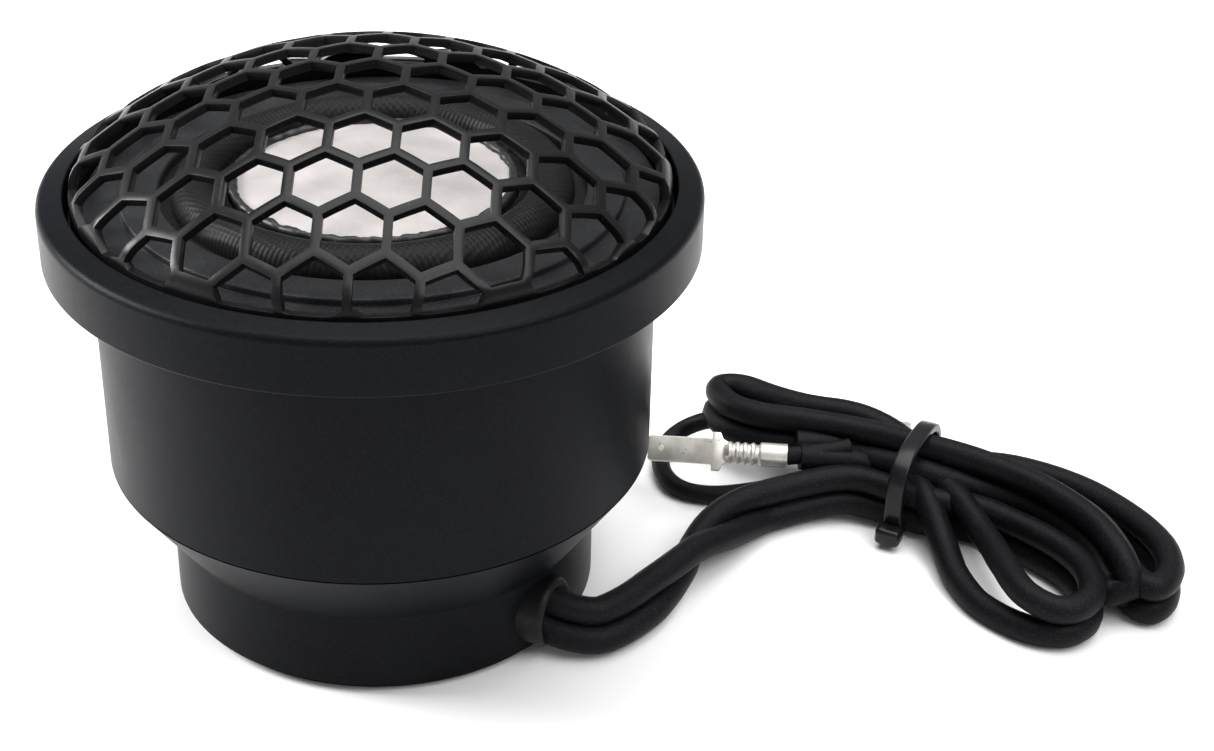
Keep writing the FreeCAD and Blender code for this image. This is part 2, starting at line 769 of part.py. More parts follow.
TERMINAL_LAP = 0.1          # how far each part of a terminal runs into the next
SHOULDER_LENGTH = 1.0
CRIMP_LENGTH = 3.5
DIMPLE_RADIUS = 0.45
DIMPLE_FROM_TIP = 1.3


def make_spade_terminal(letter):
    """Plated male blade with a crimped barrel; its tip is at the piece's own origin."""
    sheet_half = size("blade_sheet") / 2.0
    blade = box("blade_" + letter, size("blade_length") + TERMINAL_LAP, size("blade_width"),
                size("blade_sheet"), (0.0, -size("blade_width") / 2.0, -sheet_half))
    shoulder = box("shoulder_" + letter, SHOULDER_LENGTH, size("shoulder_width"),
                   size("blade_sheet"),
                   (size("blade_length"), -size("shoulder_width") / 2.0, -sheet_half))
    along = Rotation(Vector(0, 0, 1), Vector(1, 0, 0))
    crimp_start = size("blade_length") + SHOULDER_LENGTH - TERMINAL_LAP
    crimp_end = crimp_start + CRIMP_LENGTH
    crimp = cylinder("crimp_" + letter, "crimp_radius", CRIMP_LENGTH + TERMINAL_LAP,
                     (crimp_start, 0.0, 0.0), along)
    barrel = cylinder("barrel_" + letter, "barrel_crimp", size("terminal_length") - crimp_end,
                      (crimp_end, 0.0, 0.0), along)
    whole = joined("terminal_blank_" + letter, [blade, shoulder, crimp, barrel])
    dimple = cylinder_piece("dimple_" + letter, DIMPLE_RADIUS, 4.0 * size("blade_sheet"),
                            (DIMPLE_FROM_TIP, 0.0, -2.0 * size("blade_sheet")))
    name = "spade_terminal_" + letter
    terminal = cut(name, whole, dimple)
    facts = TERMINALS[letter]
    terminal.Placement = Placement(Vector(*facts["tip"]), terminal_turn(facts))
    keep(terminal, name)


def make_lead_tail(letter):
    """The bare end of one core, from the terminal's barrel into the hank."""
    facts = TERMINALS[letter]
    place = Placement(Vector(*facts["tip"]), terminal_turn(facts))
    start = place.multVec(Vector(size("terminal_length"), 0, 0))
    name = "lead_tail_" + letter
    keep(tube(name, [tuple(start)] + TAILS[letter], size("core_radius")), name)


# ---------------------------------------------------------------- build, check, write
def build():
    make_foot_pad()
    make_rear_can()
    make_chamber_seal()
    make_housing_barrel()
    make_trim_ring(screw_holes("ledge_holes", False))
    make_motor_screws()
    make_top_plate()
    make_magnet()
    make_yoke()
    make_copper_cap()
    make_pole_felt()
    make_terminal_board()
    make_solder_tags()
    make_lead_wires()
    make_chamber_wadding()
    make_coil_former()
    make_voice_coil()
    make_dome_collar()
    make_dome()
    make_surround()
    make_surround_frame()
    make_face_plate()
    make_hex_grille()
    make_grille_gasket()
    make_cable_grommet()
    make_cord_run()
    make_cord_hank()
    make_cable_tie()
    for letter in TERMINALS:
        make_spade_terminal(letter)
        make_lead_tail(letter)
    doc.recompute()


def check_and_write():
    for item in doc.Objects:
        if "Invalid" in item.State or "Error" in item.State:
            raise RuntimeError("failed object: %s %s" % (item.Name, item.State))
    for item in NODES:
        if item.Shape.isNull() or not item.Shape.isValid() or item.Shape.Volume <= 0.0:
            raise RuntimeError("bad shape: " + item.Label)
    os.makedirs("parts", exist_ok=True)
    for item in NODES:
        item.Shape.exportStep(os.path.join("parts", item.Label + ".step"))
        room = item.Shape.BoundBox
        print("%-18s solids %d volume %9.1f  x %6.1f %6.1f  y %6.1f %6.1f  z %5.1f %5.1f" % (
            item.Label, len(item.Shape.Solids), item.Shape.Volume, room.XMin, room.XMax,
            room.YMin, room.YMax, room.ZMin, room.ZMax))


build()
check_and_write()
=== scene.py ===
import bmesh
import bpy
import math
from mathutils import Matrix, Vector, noise


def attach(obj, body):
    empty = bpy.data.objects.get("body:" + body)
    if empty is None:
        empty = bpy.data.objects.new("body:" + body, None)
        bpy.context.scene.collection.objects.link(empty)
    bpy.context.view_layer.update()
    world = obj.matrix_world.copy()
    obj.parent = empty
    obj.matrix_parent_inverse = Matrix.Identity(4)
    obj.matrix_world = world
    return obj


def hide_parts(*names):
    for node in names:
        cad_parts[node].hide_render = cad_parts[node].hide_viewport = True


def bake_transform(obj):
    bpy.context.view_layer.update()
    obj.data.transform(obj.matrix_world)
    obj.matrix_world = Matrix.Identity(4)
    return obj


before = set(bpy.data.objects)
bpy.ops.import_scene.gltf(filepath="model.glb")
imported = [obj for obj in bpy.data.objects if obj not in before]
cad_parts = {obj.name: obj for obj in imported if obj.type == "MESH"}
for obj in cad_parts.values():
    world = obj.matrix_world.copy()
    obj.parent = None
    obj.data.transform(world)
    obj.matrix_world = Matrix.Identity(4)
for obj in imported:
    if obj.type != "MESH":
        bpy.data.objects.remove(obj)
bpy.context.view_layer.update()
MM = 0.001

# ------------------------------------------------------------------ camera
# A long lens, looking down on the tweeter from the front, a little to its left.
CAMERA_PLACE = (0.0, -186.9 * MM, 131.65 * MM)
CAMERA_TURN = (59.757, -1.310, -6.080)

lens = bpy.data.cameras.new("camera")
lens.lens = 64.75
lens.sensor_width = 36.0
camera = bpy.data.objects.new("camera", lens)
camera.location = CAMERA_PLACE
camera.rotation_euler = [math.radians(angle) for angle in CAMERA_TURN]
bpy.context.scene.collection.objects.link(camera)
bpy.context.scene.camera = camera


# ------------------------------------------------------------------ twin lead
# Two rubber-jacketed cores moulded side by side. It leaves the can on edge, twists once,
# and is folded into three loops on one side of the tie and two on the other.
CORE = 1.45 * MM            # radius of one core
JOINED = 2.8                # mm between the cores where they are still one lead
# place in mm, lean of the pair in degrees from flat, mm between the two cores
LEAD_ROUTE = [
    (13.4, -14.1, 4.6, 118, JOINED),
    (18.6, -17.1, 3.1, 118, JOINED),
    (23.6, -14.4, 3.05, 112, JOINED),
    (28.8, -8.4, 3.05, 70, JOINED),
    (32.8, -2.2, 3.05, -10, JOINED),
    (37.4, 2.4, 3.05, -70, JOINED),
    (43.2, 4.9, 3.05, -80, JOINED),
    (49.4, 5.9, 3.6, -80, JOINED),
    (53.2, 4.2, 3.1, -85, JOINED),
    (57.4, 1.2, 3.0, -88, JOINED),
    # front loop, whose cores part on the way back
    (62.0, 0.2, 2.95, -90, JOINED),
    (65.3, -3.2, 2.95, -90, JOINED),
    (68.0, -6.4, 2.95, -90, JOINED),
    (70.0, -9.9, 2.95, -90, JOINED),
    (70.6, -13.8, 2.95, -90, JOINED),
    (69.4, -17.4, 2.95, -90, JOINED),
    (66.2, -19.2, 2.95, -92, JOINED),
    (62.9, -17.2, 2.95, -105, 3.6),
    (60.9, -13.2, 2.9, -130, 4.6),
    (60.1, -8.8, 2.8, -145, 4.8),
    (59.7, -3.6, 3.2, -152, 3.8),
    (58.6, 1.4, 4.9, -172, JOINED),
    # back loop on the housing's side
    (57.0, 6.0, 5.4, -172, JOINED),
    (54.8, 11.0, 5.9, -120, JOINED),
    (51.2, 14.2, 6.4, -95, JOINED),
    (47.2, 15.6, 6.3, -90, JOINED),
    (43.2, 18.4, 6.2, -88, JOINED),
    (40.2, 21.6, 6.1, -86, JOINED),
    (37.0, 21.6, 6.0, -85, JOINED),
    (37.8, 17.2, 6.1, -85, JOINED),
    (41.2, 14.3, 6.3, -84, JOINED),
    (45.2, 12.7, 6.5, -80, JOINED),
    (49.4, 10.9, 6.5, -70, JOINED),
    (53.2, 8.5, 6.8, -50, JOINED),
    (56.8, 5.8, 7.1, -40, JOINED),
    # middle loop, folded under itself at its end
    (60.2, 4.0, 6.9, -60, JOINED),
    (63.9, 2.3, 6.4, -80, JOINED),
    (67.4, -0.5, 6.3, -90, JOINED),
    (70.2, -4.0, 6.0, -90, JOINED),
    (72.0, -7.5, 5.8, -86, JOINED),
    (72.9, -11.0, 5.4, -78, JOINED),
    (73.2, -14.4, 4.2, -50, JOINED),
    (72.8, -13.8, 2.0, -14, JOINED),
    (72.4, -10.0, 1.6, 0, JOINED),
    (71.4, -5.6, 1.6, 0, JOINED),
    (68.6, -1.0, 1.7, 0, JOINED),
    (64.4, 2.8, 1.9, 0, JOINED),
    (60.2, 5.2, 2.2, 0, JOINED),
    # short fold beside the tie
    (56.6, 6.6, 2.2, 0, JOINED),
    (52.2, 8.6, 2.0, 10, JOINED),
    (48.2, 11.0, 2.0, 30, JOINED),
    (49.8, 13.9, 2.4, 60, JOINED),
    (54.0, 11.2, 2.9, 80, JOINED),
    (58.0, 8.8, 2.95, 90, JOINED),
    # far loop
    (62.2, 8.2, 2.95, 90, JOINED),
    (66.6, 8.0, 2.95, 90, JOINED),
    (71.0, 5.6, 2.95, 90, JOINED),
    (74.8, 2.2, 2.95, 90, JOINED),
    (77.2, -1.5, 2.95, 90, JOINED),
    (79.0, -5.5, 2.95, 90, JOINED),
    (79.8, -9.7, 2.95, 90, JOINED),
    (78.8, -13.8, 2.95, 90, JOINED),
    (76.2, -16.3, 2.95, 90, JOINED),
    (74.5, -13.6, 2.95, 90, JOINED),
    (74.8, -9.6, 2.95, 90, JOINED),
    (74.6, -5.4, 2.95, 90, JOINED),
    (73.0, -1.2, 2.95, 90, JOINED),
    (69.6, 2.6, 2.95, 90, JOINED),
    (65.4, 5.4, 2.95, 90, JOINED),
    (61.2, 7.2, 3.0, 80, JOINED),
    (57.4, 7.8, 4.6, 60, JOINED),
    (53.6, 8.8, 5.2, 35, JOINED),
    (50.0, 9.4, 5.9, 10, JOINED),
    (44.6, 9.6, 6.2, 0, JOINED),
]


def route_line(name, places, steps):
    """Points of the smooth line that a route's control points give."""
    data = bpy.data.curves.new(name, "CURVE")
    data.dimensions = "3D"
    spline = data.splines.new("NURBS")
    spline.points.add(len(places) - 1)
    for point, place in zip(spline.points, places):
        point.co = (place[0] * MM, place[1] * MM, place[2] * MM, 1.0)
    spline.order_u = 3
    spline.use_endpoint_u = True
    spline.resolution_u = steps
    holder = bpy.data.objects.new(name, data)
    bpy.context.scene.collection.objects.link(holder)
    bpy.context.view_layer.update()
    ready = holder.evaluated_get(bpy.context.evaluated_depsgraph_get())
    mesh = bpy.data.meshes.new_from_object(ready)
    points = [vertex.co.copy() for vertex in mesh.vertices]
    bpy.data.objects.remove(holder)
    bpy.data.meshes.remove(mesh)
    return points


def core_mesh(name, points, radius, rounds):
    """Round jacket that follows the points."""
    data = bpy.data.curves.new(name, "CURVE")
    data.dimensions = "3D"
    data.bevel_depth = radius
    data.bevel_resolution = rounds
    data.use_fill_caps = True
    spline = data.splines.new("POLY")
    spline.points.add(len(points) - 1)
    for point, place in zip(spline.points, points):
        point.co = (*place, 1.0)
    holder = bpy.data.objects.new(name, data)
    bpy.context.scene.collection.objects.link(holder)
    bpy.context.view_layer.update()
    ready = holder.evaluated_get(bpy.context.evaluated_depsgraph_get())
    mesh = bpy.data.meshes.new_from_object(ready)
    bpy.data.objects.remove(holder)
    return mesh


def piece(name, shape, smooth=True):
    """New object at the origin from a bmesh or a mesh."""
    if isinstance(shape, bmesh.types.BMesh):
        mesh = bpy.data.meshes.new(name)
        shape.to_mesh(mesh)
        shape.free()
    else:
        mesh = shape
    mesh.name = name
    for face in mesh.polygons:
        face.use_smooth = smooth
    made = bpy.data.objects.new(name, mesh)
    bpy.context.scene.collection.objects.link(made)
    return made


def lead_cores(line, facts):
    """Centre lines of the two cores on either side of the lead's own line."""
    sides = ([], [])
    last = len(line) - 1
    for here, place in enumerate(line):
        ahead = line[min(here + 1, last)]
        behind = line[max(here - 1, 0)]
        along = (ahead - behind).normalized()
        level = along.cross(Vector((0, 0, 1))).normalized()
        upward = level.cross(along)
        spot = here / last * (len(facts) - 1)
        first = min(int(spot), len(facts) - 2)
        share = spot - first
        lean = math.radians(facts[first][3] * (1 - share) + facts[first + 1][3] * share)
        apart = (facts[first][4] * (1 - share) + facts[first + 1][4] * share) * MM
        across = level * math.cos(lean) + upward * math.sin(lean)
        sides[0].append(place + across * apart / 2)
        sides[1].append(place - across * apart / 2)
    return sides


lead_line = route_line("lead_line", LEAD_ROUTE, 6)
lead_shape = bmesh.new()
for core_line in lead_cores(lead_line, LEAD_ROUTE):
    lead_shape.from_mesh(core_mesh("core", core_line, CORE, 4))
lead = piece("twin_lead", lead_shape)
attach(lead, "housing")
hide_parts("cord_run", "cord_hank")


# Rubber jacket: matt black with a fine tooth and a few pale specks of dust.
def node(tree, kind, **inputs):
    """Add a shader node and set its inputs or settings by name."""
    made = tree.nodes.new(kind)
    for name, value in inputs.items():
        if hasattr(made, name):
            setattr(made, name, value)
        else:
            made.inputs[name.replace("_", " ")].default_value = value
    return made


def new_group(name, inputs, outputs):
    """Shader node group with named float inputs and named outputs."""
    group = bpy.data.node_groups.new(name, "ShaderNodeTree")
    for label, value in inputs.items():
        socket = group.interface.new_socket(label, in_out="INPUT", socket_type="NodeSocketFloat")
        socket.default_value = value
    for label, kind in outputs.items():
        group.interface.new_socket(label, in_out="OUTPUT", socket_type=kind)
    start = group.nodes.new("NodeGroupInput")
    end = group.nodes.new("NodeGroupOutput")
    return group, start, end


def tooth_group():
    """Fine tooth of a cast, coated or rubbed surface, with its specks and cloudy shade."""
    group, start, end = new_group(
        "tooth", {"Grain": 0.2, "Speck": 0.5, "Cloud": 8.0},
        {"Height": "NodeSocketFloat", "Specks": "NodeSocketFloat",
         "Shade": "NodeSocketFloat"})
    place = node(group, "ShaderNodeTexCoord")
    size = node(group, "ShaderNodeMath", operation="DIVIDE")
    size.inputs[0].default_value = 1.0
    group.links.new(start.outputs["Grain"], size.inputs[1])
    fine = node(group, "ShaderNodeMath", operation="MULTIPLY")
    fine.inputs[1].default_value = 1000.0
    group.links.new(size.outputs[0], fine.inputs[0])
    grain = node(group, "ShaderNodeTexNoise", Detail=3.0, Roughness=0.65)
    group.links.new(place.outputs["Object"], grain.inputs["Vector"])
    group.links.new(fine.outputs[0], grain.inputs["Scale"])
    dots = node(group, "ShaderNodeTexVoronoi")
    group.links.new(place.outputs["Object"], dots.inputs["Vector"])
    group.links.new(fine.outputs[0], dots.inputs["Scale"])
    pick = node(group, "ShaderNodeSeparateColor")
    group.links.new(dots.outputs["Color"], pick.inputs[0])
    rare = node(group, "ShaderNodeMath", operation="GREATER_THAN")
    group.links.new(pick.outputs[0], rare.inputs[0])
    group.links.new(start.outputs["Speck"], rare.inputs[1])
    near = node(group, "ShaderNodeMath", operation="LESS_THAN")
    near.inputs[1].default_value = 0.35
    group.links.new(dots.outputs["Distance"], near.inputs[0])
    specks = node(group, "ShaderNodeMath", operation="MULTIPLY")
    group.links.new(rare.outputs[0], specks.inputs[0])
    group.links.new(near.outputs[0], specks.inputs[1])
    wide = node(group, "ShaderNodeMath", operation="MULTIPLY")
    wide.inputs[1].default_value = 10.0
    group.links.new(start.outputs["Cloud"], wide.inputs[0])
    cloud = node(group, "ShaderNodeTexNoise", Detail=4.0, Roughness=0.55)
    group.links.new(place.outputs["Object"], cloud.inputs["Vector"])
    group.links.new(wide.outputs[0], cloud.inputs["Scale"])
    group.links.new(grain.outputs["Fac"], end.inputs["Height"])
    group.links.new(specks.outputs[0], end.inputs["Specks"])
    group.links.new(cloud.outputs["Fac"], end.inputs["Shade"])
    return group


TOOTH = tooth_group()


def blend_colours(tree, factor, first, second):
    """Mix two colours, each a fixed value or another node's output."""
    mix = tree.nodes.new("ShaderNodeMix")
    mix.data_type = "RGBA"
    tree.links.new(factor, mix.inputs[0])
    for socket, value in ((mix.inputs[6], first), (mix.inputs[7], second)):
        if isinstance(value, tuple):
            socket.default_value = (*value, 1.0)
        else:
            tree.links.new(value, socket)
    return mix.outputs[2]


def to_range(tree, value, low, high, first, last):
    """Carry a value from one range to another."""
    made = tree.nodes.new("ShaderNodeMapRange")
    made.inputs["From Min"].default_value = low
    made.inputs["From Max"].default_value = high
    made.inputs["To Min"].default_value = first
    made.inputs["To Max"].default_value = last
    tree.links.new(value, made.inputs["Value"])
    return made.outputs["Result"]


def coated(name, dark, pale, speck, rough, grain, bump, metal=0.0, rarity=0.9, cloud=8.0,
           sheen=0.5):
    """Surface with two close shades, small bright specks and a fine tooth."""
    made = bpy.data.materials.new(name)
    made.use_nodes = True
    tree = made.node_tree
    shader = tree.nodes["Principled BSDF"]
    tooth = node(tree, "ShaderNodeGroup", node_tree=TOOTH)
    tooth.inputs["Grain"].default_value = grain
    tooth.inputs["Speck"].default_value = rarity
    tooth.inputs["Cloud"].default_value = cloud
    shade = to_range(tree, tooth.outputs["Shade"], 0.3, 0.7, 0.0, 1.0)
    ground = blend_colours(tree, shade, dark, pale)
    colour = blend_colours(tree, tooth.outputs["Specks"], ground, speck)
    tree.links.new(colour, shader.inputs["Base Color"])
    tree.links.new(to_range(tree, tooth.outputs["Shade"], 0.3, 0.7, rough - 0.05, rough + 0.05),
                   shader.inputs["Roughness"])
    shader.inputs["Metallic"].default_value = metal
    shader.inputs["Specular IOR Level"].default_value = sheen
    bumped = node(tree, "ShaderNodeBump", Strength=bump, Distance=0.03 * MM)
    tree.links.new(tooth.outputs["Height"], bumped.inputs["Height"])
    tree.links.new(bumped.outputs["Normal"], shader.inputs["Normal"])
    return made


def finish_with(thing, material):
    """Give a piece its one material."""
    thing.data.materials.clear()
    thing.data.materials.append(material)


jacket = coated("jacket_rubber", (0.0024, 0.0026, 0.0035), (0.0062, 0.0066, 0.0082),
                (0.026, 0.027, 0.029), 0.5, 0.12, 0.8, rarity=0.75, sheen=0.10)
finish_with(lead, jacket)


# ------------------------------------------------------------------ single cores
# The last stretch of each core, parted and stripped to a thinner rubber jacket. Each runs
# from its terminal into the hank, the long one round a loose loop beside the housing.
THIN = 1.0 * MM             # radius of a parted core
LONG_TAIL = [
    (43.1, 15.9, 6.6), (37.4, 19.4, 4.8), (33.4, 21.2, 2.2), (30.9, 18.4, 1.2),
    (30.4, 14.4, 1.1), (31.5, 10.8, 1.1), (34.6, 9.0, 1.1), (39.4, 9.2, 1.2),
    (44.6, 10.2, 1.6), (50.0, 9.6, 2.8),
]
SHORT_TAIL = [(43.15, 8.27, 6.3), (46.4, 8.1, 6.6), (50.0, 8.4, 7.0)]


def thin_core(name, places, cad_name):
    """One parted core and the line that it follows."""
    line = route_line(name, places, 8)
    made = piece(name, core_mesh(name, line, THIN, 4))
    finish_with(made, jacket)
    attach(made, "housing")
    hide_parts(cad_name)
    return made, line


long_tail, long_line = thin_core("long_core", LONG_TAIL, "lead_tail_b")
short_tail, short_line = thin_core("short_core", SHORT_TAIL, "lead_tail_a")


# ------------------------------------------------------------------ blade terminals
# Stamped from brass sheet and tin-plated: a flat blade with a small raised stud,
# shoulders, a serrated crimp and a round barrel that grips the core.
BLADE = {"long": 6.9 * MM, "half": 1.4 * MM, "sheet": 0.5 * MM, "shoulder": 2.1 * MM}
TIP_HALF = BLADE["half"] * 0.82
TIP_LONG = 0.3 * MM
SHOULDER_LONG = 0.9 * MM
NECK_HALF = 0.9 * MM
SHEET_ROUND = 0.09 * MM
TERMINAL_END = 15.0 * MM
CRIMP = 1.2 * MM            # radius over the serrations
BARREL = 1.3 * MM           # radius of the barrel that grips the core
RIBS = 4
RIB_PITCH = 0.82 * MM
RIB_FOOT = CRIMP * 0.86
STUD = {"foot": 0.42 * MM, "top": 0.3 * MM, "high": 0.16 * MM, "from_tip": 1.4 * MM}


def terminal_shape():
    """Terminal along +X with its tip at the origin."""
    half = BLADE["half"]
    wide = BLADE["shoulder"]
    long = BLADE["long"]
    outline = [(0.0, TIP_HALF), (TIP_LONG, half), (long, half), (long, wide),
               (long + SHOULDER_LONG, wide), (long + 1.2 * MM, half),
               (long + 2.2 * MM, NECK_HALF)]
    shape = bmesh.new()
    rim = [shape.verts.new((x, y, 0)) for x, y in outline]
    rim += [shape.verts.new((x, -y, 0)) for x, y in reversed(outline)]
    plate = shape.faces.new(rim)
    bmesh.ops.recalc_face_normals(shape, faces=[plate])
    grown = bmesh.ops.extrude_face_region(shape, geom=[plate])
    lifted = [part for part in grown["geom"] if isinstance(part, bmesh.types.BMVert)]
    bmesh.ops.translate(shape, verts=lifted, vec=(0, 0, BLADE["sheet"]))
    bmesh.ops.translate(shape, verts=shape.verts, vec=(0, 0, -BLADE["sheet"] / 2))
    bmesh.ops.recalc_face_normals(shape, faces=shape.faces)
    bmesh.ops.bevel(shape, geom=list(shape.edges), offset=SHEET_ROUND, segments=2,
                    affect="EDGES", profile=0.5, material=-1)
    return shape


def spun_along_x(shape, section, steps):
    """Add a round form spun about X from (distance, radius) points."""
    verts = [shape.verts.new((x, 0, radius)) for x, radius in section]
    edges = [shape.edges.new(pair) for pair in zip(verts, verts[1:])]
    bmesh.ops.spin(shape, geom=verts + edges, axis=(1, 0, 0), cent=(0, 0, 0),
                   dvec=(0, 0, 0), angle=math.tau, steps=steps, use_merge=True)


def crimp_section():
    """(distance, radius) points of the serrated crimp and the barrel behind it."""
    start = BLADE["long"] + 1.4 * MM
    section = [(start, 0.0), (start, CRIMP * 0.75)]
    for rib in range(RIBS):
        here = start + 0.25 * MM + rib * RIB_PITCH
        section += [(here, RIB_FOOT), (here + 0.2 * MM, CRIMP), (here + 0.42 * MM, CRIMP),
                    (here + 0.62 * MM, RIB_FOOT)]
    neck = here + 0.9 * MM
    section += [(neck, CRIMP * 0.8), (neck + 0.3 * MM, BARREL), (TERMINAL_END, BARREL),
                (TERMINAL_END, BARREL - 0.25 * MM), (TERMINAL_END - 0.4 * MM, 0.0)]
    return section


def make_terminal(name, tip, heading, roll, cad_name):
    """Terminal with its tip at a place in mm, turned and rolled by degrees."""
    shape = terminal_shape()
    spun_along_x(shape, crimp_section(), 24)
    bmesh.ops.remove_doubles(shape, verts=shape.verts, dist=1e-7)
    bmesh.ops.recalc_face_normals(shape, faces=shape.faces)
    stud = bmesh.ops.create_cone(shape, cap_ends=True, segments=16, radius1=STUD["foot"],
                                 radius2=STUD["top"], depth=STUD["high"])
    bmesh.ops.translate(shape, verts=stud["verts"],
                        vec=(STUD["from_tip"], 0, BLADE["sheet"] / 2))
    turn = (Matrix.Translation([value * MM for value in tip])
            @ Matrix.Rotation(math.radians(heading), 4, "Z")
            @ Matrix.Rotation(math.radians(roll), 4, "X"))
    bmesh.ops.transform(shape, matrix=turn, verts=shape.verts)
    made = piece(name, shape)
    made.data.set_sharp_from_angle(angle=math.radians(38))
    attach(made, "housing")
    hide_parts(cad_name)
    return made


near_terminal = make_terminal("blade_terminal_near", (28.4, 11.0, 6.3), -10.5, 50.0,
                              "spade_terminal_a")
far_terminal = make_terminal("blade_terminal_far", (57.6, 12.0, 6.6), 165.0, 0.0,
                             "spade_terminal_b")
tin = coated("tin_plate", (0.66, 0.62, 0.57), (0.84, 0.81, 0.76), (0.42, 0.38, 0.33),
             0.40, 0.3, 0.15, metal=0.75, rarity=0.97, cloud=60.0)
for thing in (near_terminal, far_terminal):
    finish_with(thing, tin)


# ------------------------------------------------------------------ cable tie
# Flat nylon band pulled tight round the folded lead, with a small moulded lock at its
# front foot where the band's end is caught.
HANK_CENTRE = (56.4 * MM, 5.2 * MM)
HANK_TURN = -32.0           # direction of the hank's strands at the tie, degrees from +X
SQUARENESS = 3.2            # 2 is a plain ellipse, more is squarer
LOCK_SIZE = (2.7 * MM, 2.0 * MM, 1.9 * MM)
LOCK_PLACE = (0, -6.8 * MM, 1.6 * MM)
LOCK_ROUND = 0.5 * MM
BAND_ROUND = 0.22 * MM
BAND = {"wide": 1.9 * MM, "thick": 0.9 * MM, "span": 12.8 * MM, "rise": 10.2 * MM}


def band_ring():
    """Closed band round the hank: a round loop squared off, then given width and wall."""
    shape = bmesh.new()
    bmesh.ops.create_circle(shape, segments=48, radius=1.0)
    for vert in shape.verts:
        x, y = vert.co.x, vert.co.y
        square = (abs(x) ** SQUARENESS + abs(y) ** SQUARENESS) ** (1 / SQUARENESS)
        across = x / square * (BAND["span"] / 2 - BAND["thick"])
        height = y / square * (BAND["rise"] / 2 - BAND["thick"])
        vert.co = (0.0, across, height)
    grown = bmesh.ops.extrude_edge_only(shape, edges=shape.edges)
    moved = [part for part in grown["geom"] if isinstance(part, bmesh.types.BMVert)]
    bmesh.ops.translate(shape, verts=moved, vec=(BAND["wide"], 0, 0))
    bmesh.ops.translate(shape, verts=shape.verts, vec=(-BAND["wide"] / 2, 0, 0))
    bmesh.ops.recalc_face_normals(shape, faces=shape.faces)
    bmesh.ops.solidify(shape, geom=list(shape.faces), thickness=-BAND["thick"])
    bmesh.ops.recalc_face_normals(shape, faces=shape.faces)
    bmesh.ops.translate(shape, verts=shape.verts, vec=(0, 0, BAND["rise"] / 2))
    return shape


def add_block(shape, size, place, edge):
    """Add a block with rounded edges."""
    block = bmesh.ops.create_cube(shape, size=1.0)
    bmesh.ops.scale(shape, verts=block["verts"], vec=size)
    bmesh.ops.translate(shape, verts=block["verts"], vec=place)
    edges = {rim for vert in block["verts"] for rim in vert.link_edges}
    bmesh.ops.bevel(shape, geom=list(edges), offset=edge, segments=3, affect="EDGES",
                    profile=0.5, material=-1)


tie_shape = band_ring()
rims = [edge for edge in tie_shape.edges
        if len(edge.link_faces) == 2 and edge.calc_face_angle(0) > 1.0]
bmesh.ops.bevel(tie_shape, geom=rims, offset=BAND_ROUND, segments=3, affect="EDGES",
                profile=0.5, material=-1)
add_block(tie_shape, LOCK_SIZE, LOCK_PLACE, LOCK_ROUND)
tie_turn = (Matrix.Translation((*HANK_CENTRE, 0))
            @ Matrix.Rotation(math.radians(HANK_TURN), 4, "Z"))
bmesh.ops.transform(tie_shape, matrix=tie_turn, verts=tie_shape.verts)
tie = piece("cable_tie_band", tie_shape)
tie.data.set_sharp_from_angle(angle=math.radians(50))
nylon = coated("tie_nylon", (0.004, 0.0042, 0.005), (0.007, 0.0075, 0.009),
               (0.03, 0.03, 0.03), 0.3, 0.4, 0.2, rarity=0.99, sheen=0.25)
finish_with(tie, nylon)
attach(tie, "housing")
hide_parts("cable_tie")


# ------------------------------------------------------------------ foot pad, can and barrel
# The pad is black foam rubber glued under the can. The can is pressed and the barrel is
# drawn from aluminium, both under a charcoal powder coat, and the can plugs into the barrel.
def turned(name, section, body, cad_name=None, closed=True, steps=180):
    """Turned piece from (radius, height, rounding) points in mm."""
    shape = bmesh.new()
    verts = [shape.verts.new((radius * MM, 0, height * MM)) for radius, height, _ in section]
    pairs = list(zip(verts, verts[1:]))
    if closed:
        pairs.append((verts[-1], verts[0]))
    for pair in pairs:
        shape.edges.new(pair)
    for vert, (_, _, rounding) in zip(verts, section):
        if rounding:
            bmesh.ops.bevel(shape, geom=[vert], offset=rounding * MM, segments=4,
                            affect="VERTICES", profile=0.5, material=-1)
    bmesh.ops.spin(shape, geom=list(shape.verts) + list(shape.edges), axis=(0, 0, 1),
                   cent=(0, 0, 0), dvec=(0, 0, 0), angle=math.tau, steps=steps,
                   use_merge=True)
    bmesh.ops.remove_doubles(shape, verts=shape.verts, dist=1e-7)
    bmesh.ops.recalc_face_normals(shape, faces=shape.faces)
    made = piece(name, shape)
    even_shading(made)
    if body:
        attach(made, body)
    if cad_name:
        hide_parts(cad_name)
    return made


def even_shading(thing):
    """Keep flats flat and rounded edges soft."""
    thing.data.set_sharp_from_angle(angle=math.radians(46))
    even = thing.modifiers.new("even", "WEIGHTED_NORMAL")
    even.keep_sharp = True


foot_pad = turned("foot_pad_disc", [
    (0, 0, 0), (20.3, 0, 0.3), (20.3, 1.0, 0.1), (0, 1.0, 0)], "housing", "foot_pad",
    closed=False)
barrel = turned("barrel_shell", [
    (26.65, 16.7, 0.25), (26.65, 38.5, 0.1), (26.0, 38.5, 0), (26.0, 38.8, 0),
    (24.95, 38.8, 0.1), (24.95, 16.7, 0.1)],
    "housing", "housing_barrel")
powder_coat = coated("charcoal_coat", (0.0022, 0.0026, 0.0037), (0.0036, 0.0042, 0.0057),
                     (0.0095, 0.0105, 0.0130), 0.34, 0.13, 0.9, rarity=0.6, sheen=0.055)
foam_rubber = coated("foam_rubber", (0.0024, 0.0020, 0.0019), (0.0042, 0.0036, 0.0034),
                     (0.01, 0.01, 0.01), 0.45, 0.3, 0.4, sheen=0.2)
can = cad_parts["rear_can"]
for thing in (barrel, can):
    finish_with(thing, powder_coat)
finish_with(foot_pad, foam_rubber)

